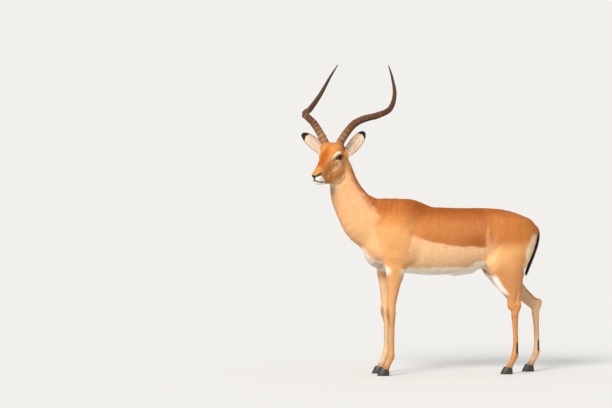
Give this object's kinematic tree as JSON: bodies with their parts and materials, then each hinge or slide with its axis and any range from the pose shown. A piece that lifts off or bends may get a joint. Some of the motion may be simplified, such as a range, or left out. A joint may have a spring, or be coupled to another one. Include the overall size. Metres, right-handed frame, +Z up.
{
  "type": "impala antelope",
  "caption": "Life-size adult male impala standing still on its hooves, with lyre-shaped horns and its head turned to its left.",
  "frame": {"origin": "on the floor under the middle of the model's box", "axes": "+Z up; the body faces -X; +Y is the animal's right side; the head is turned towards its left, -Y"},
  "size_m": [1.2568, 0.492, 1.5747],
  "materials": {
    "coat": "short glossy rufous hair with a fawn flank band and white belly",
    "ear_hair": "short hair, white inside, fawn behind, black at the tip",
    "tail_hair": "dark brown to black hair with white edges",
    "horn": "ringed brown keratin, smooth and dark at the tip",
    "hoof": "smooth black keratin",
    "eye": "wet dark brown"
  },
  "bodies": {
    "root": {"trunk": "coat", "neck": "coat", "head": "coat", "tail": "tail_hair", "ear_left": "ear_hair", "eye_left": "eye", "horn_left": "horn", "foreleg_left_forearm": "coat", "foreleg_left_cannon": "coat", "foreleg_left_claw_outer": "hoof", "foreleg_left_claw_inner": "hoof", "hindleg_left_gaskin": "coat", "hindleg_left_cannon": "coat", "hindleg_left_claw_outer": "hoof", "hindleg_left_claw_inner": "hoof", "ear_right": "ear_hair", "eye_right": "eye", "horn_right": "horn", "foreleg_right_forearm": "coat", "foreleg_right_cannon": "coat", "foreleg_right_claw_outer": "hoof", "foreleg_right_claw_inner": "hoof", "hindleg_right_gaskin": "coat", "hindleg_right_cannon": "coat", "hindleg_right_claw_outer": "hoof", "hindleg_right_claw_inner": "hoof"}
  },
  "joints": []
}
